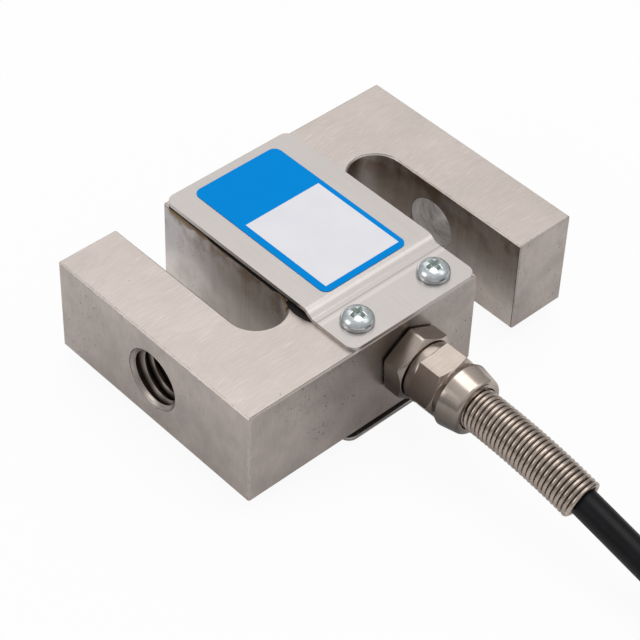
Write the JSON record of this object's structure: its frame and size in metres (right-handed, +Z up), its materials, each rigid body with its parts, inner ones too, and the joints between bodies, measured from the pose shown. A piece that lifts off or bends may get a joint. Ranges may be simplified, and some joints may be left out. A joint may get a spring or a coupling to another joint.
{
  "type": "s type load cell",
  "caption": "S-shaped slotted block with threaded ends, joggled cover plates, side cable gland with spring strain relief and a coiled cable.",
  "frame": {"origin": "on the surface the cell lies on, under the middle of the steel body", "axes": "+Z up; X is the load direction, through the two threaded ends; the cable leaves towards -Y"},
  "size_m": [0.1122, 0.1851, 0.0264],
  "materials": {
    "nickel_plated_steel": "nickel plated, finely milled, light wear",
    "stainless_sheet": "brushed",
    "zinc_screw": "bright zinc plated",
    "nickel_plated_brass": "nickel plated, turned",
    "spring_wire": "drawn wire",
    "black_rubber": "matte",
    "cable_jacket": "soft gloss PVC",
    "label_film": "printed film",
    "nylon": "moulded",
    "gauge_foil": "polyimide film",
    "clear_silicone": "translucent coating",
    "circuit_board": "solder mask",
    "resistor_body": "lacquered",
    "tinned_copper": "tinned",
    "lead_red": "insulation",
    "lead_black": "insulation",
    "lead_green": "insulation",
    "lead_white": "insulation"
  },
  "bodies": {
    "root": {"body": "nickel_plated_steel", "top_cover": "stainless_sheet", "bottom_cover": "stainless_sheet", "top_seal": "black_rubber", "bottom_seal": "black_rubber", "label": "label_film", "gland_seal": "black_rubber", "gland_body": "nickel_plated_brass", "clamp_bush": "black_rubber", "thrust_washer": "nickel_plated_brass", "gland_nut": "nickel_plated_brass", "spring_strain_relief": "spring_wire", "shear_gauge_top": "gauge_foil", "shear_gauge_bottom": "gauge_foil", "gauge_coating_top": "clear_silicone", "gauge_coating_bottom": "clear_silicone", "terminal_board": "circuit_board", "upper_gauge_jumpers": "tinned_copper", "lower_gauge_wires": "tinned_copper", "cable_entry": "cable_jacket", "cable": "cable_jacket", "cable_coil": "cable_jacket", "end_sleeve": "black_rubber", "lead_tips": "tinned_copper", "trim_resistor_1": "resistor_body", "trim_resistor_2": "resistor_body", "inner_core_1": "lead_red", "inner_core_2": "lead_black", "inner_core_3": "lead_green", "inner_core_4": "lead_white", "coil_tie_1": "nylon", "coil_tie_2": "nylon", "lead_red": "lead_red", "lead_black": "lead_black", "lead_green": "lead_green", "lead_white": "lead_white", "shield_wire": "tinned_copper", "top_screw_1": "zinc_screw", "bottom_screw_1": "zinc_screw", "top_screw_2": "zinc_screw", "bottom_screw_2": "zinc_screw"}
  },
  "joints": []
}
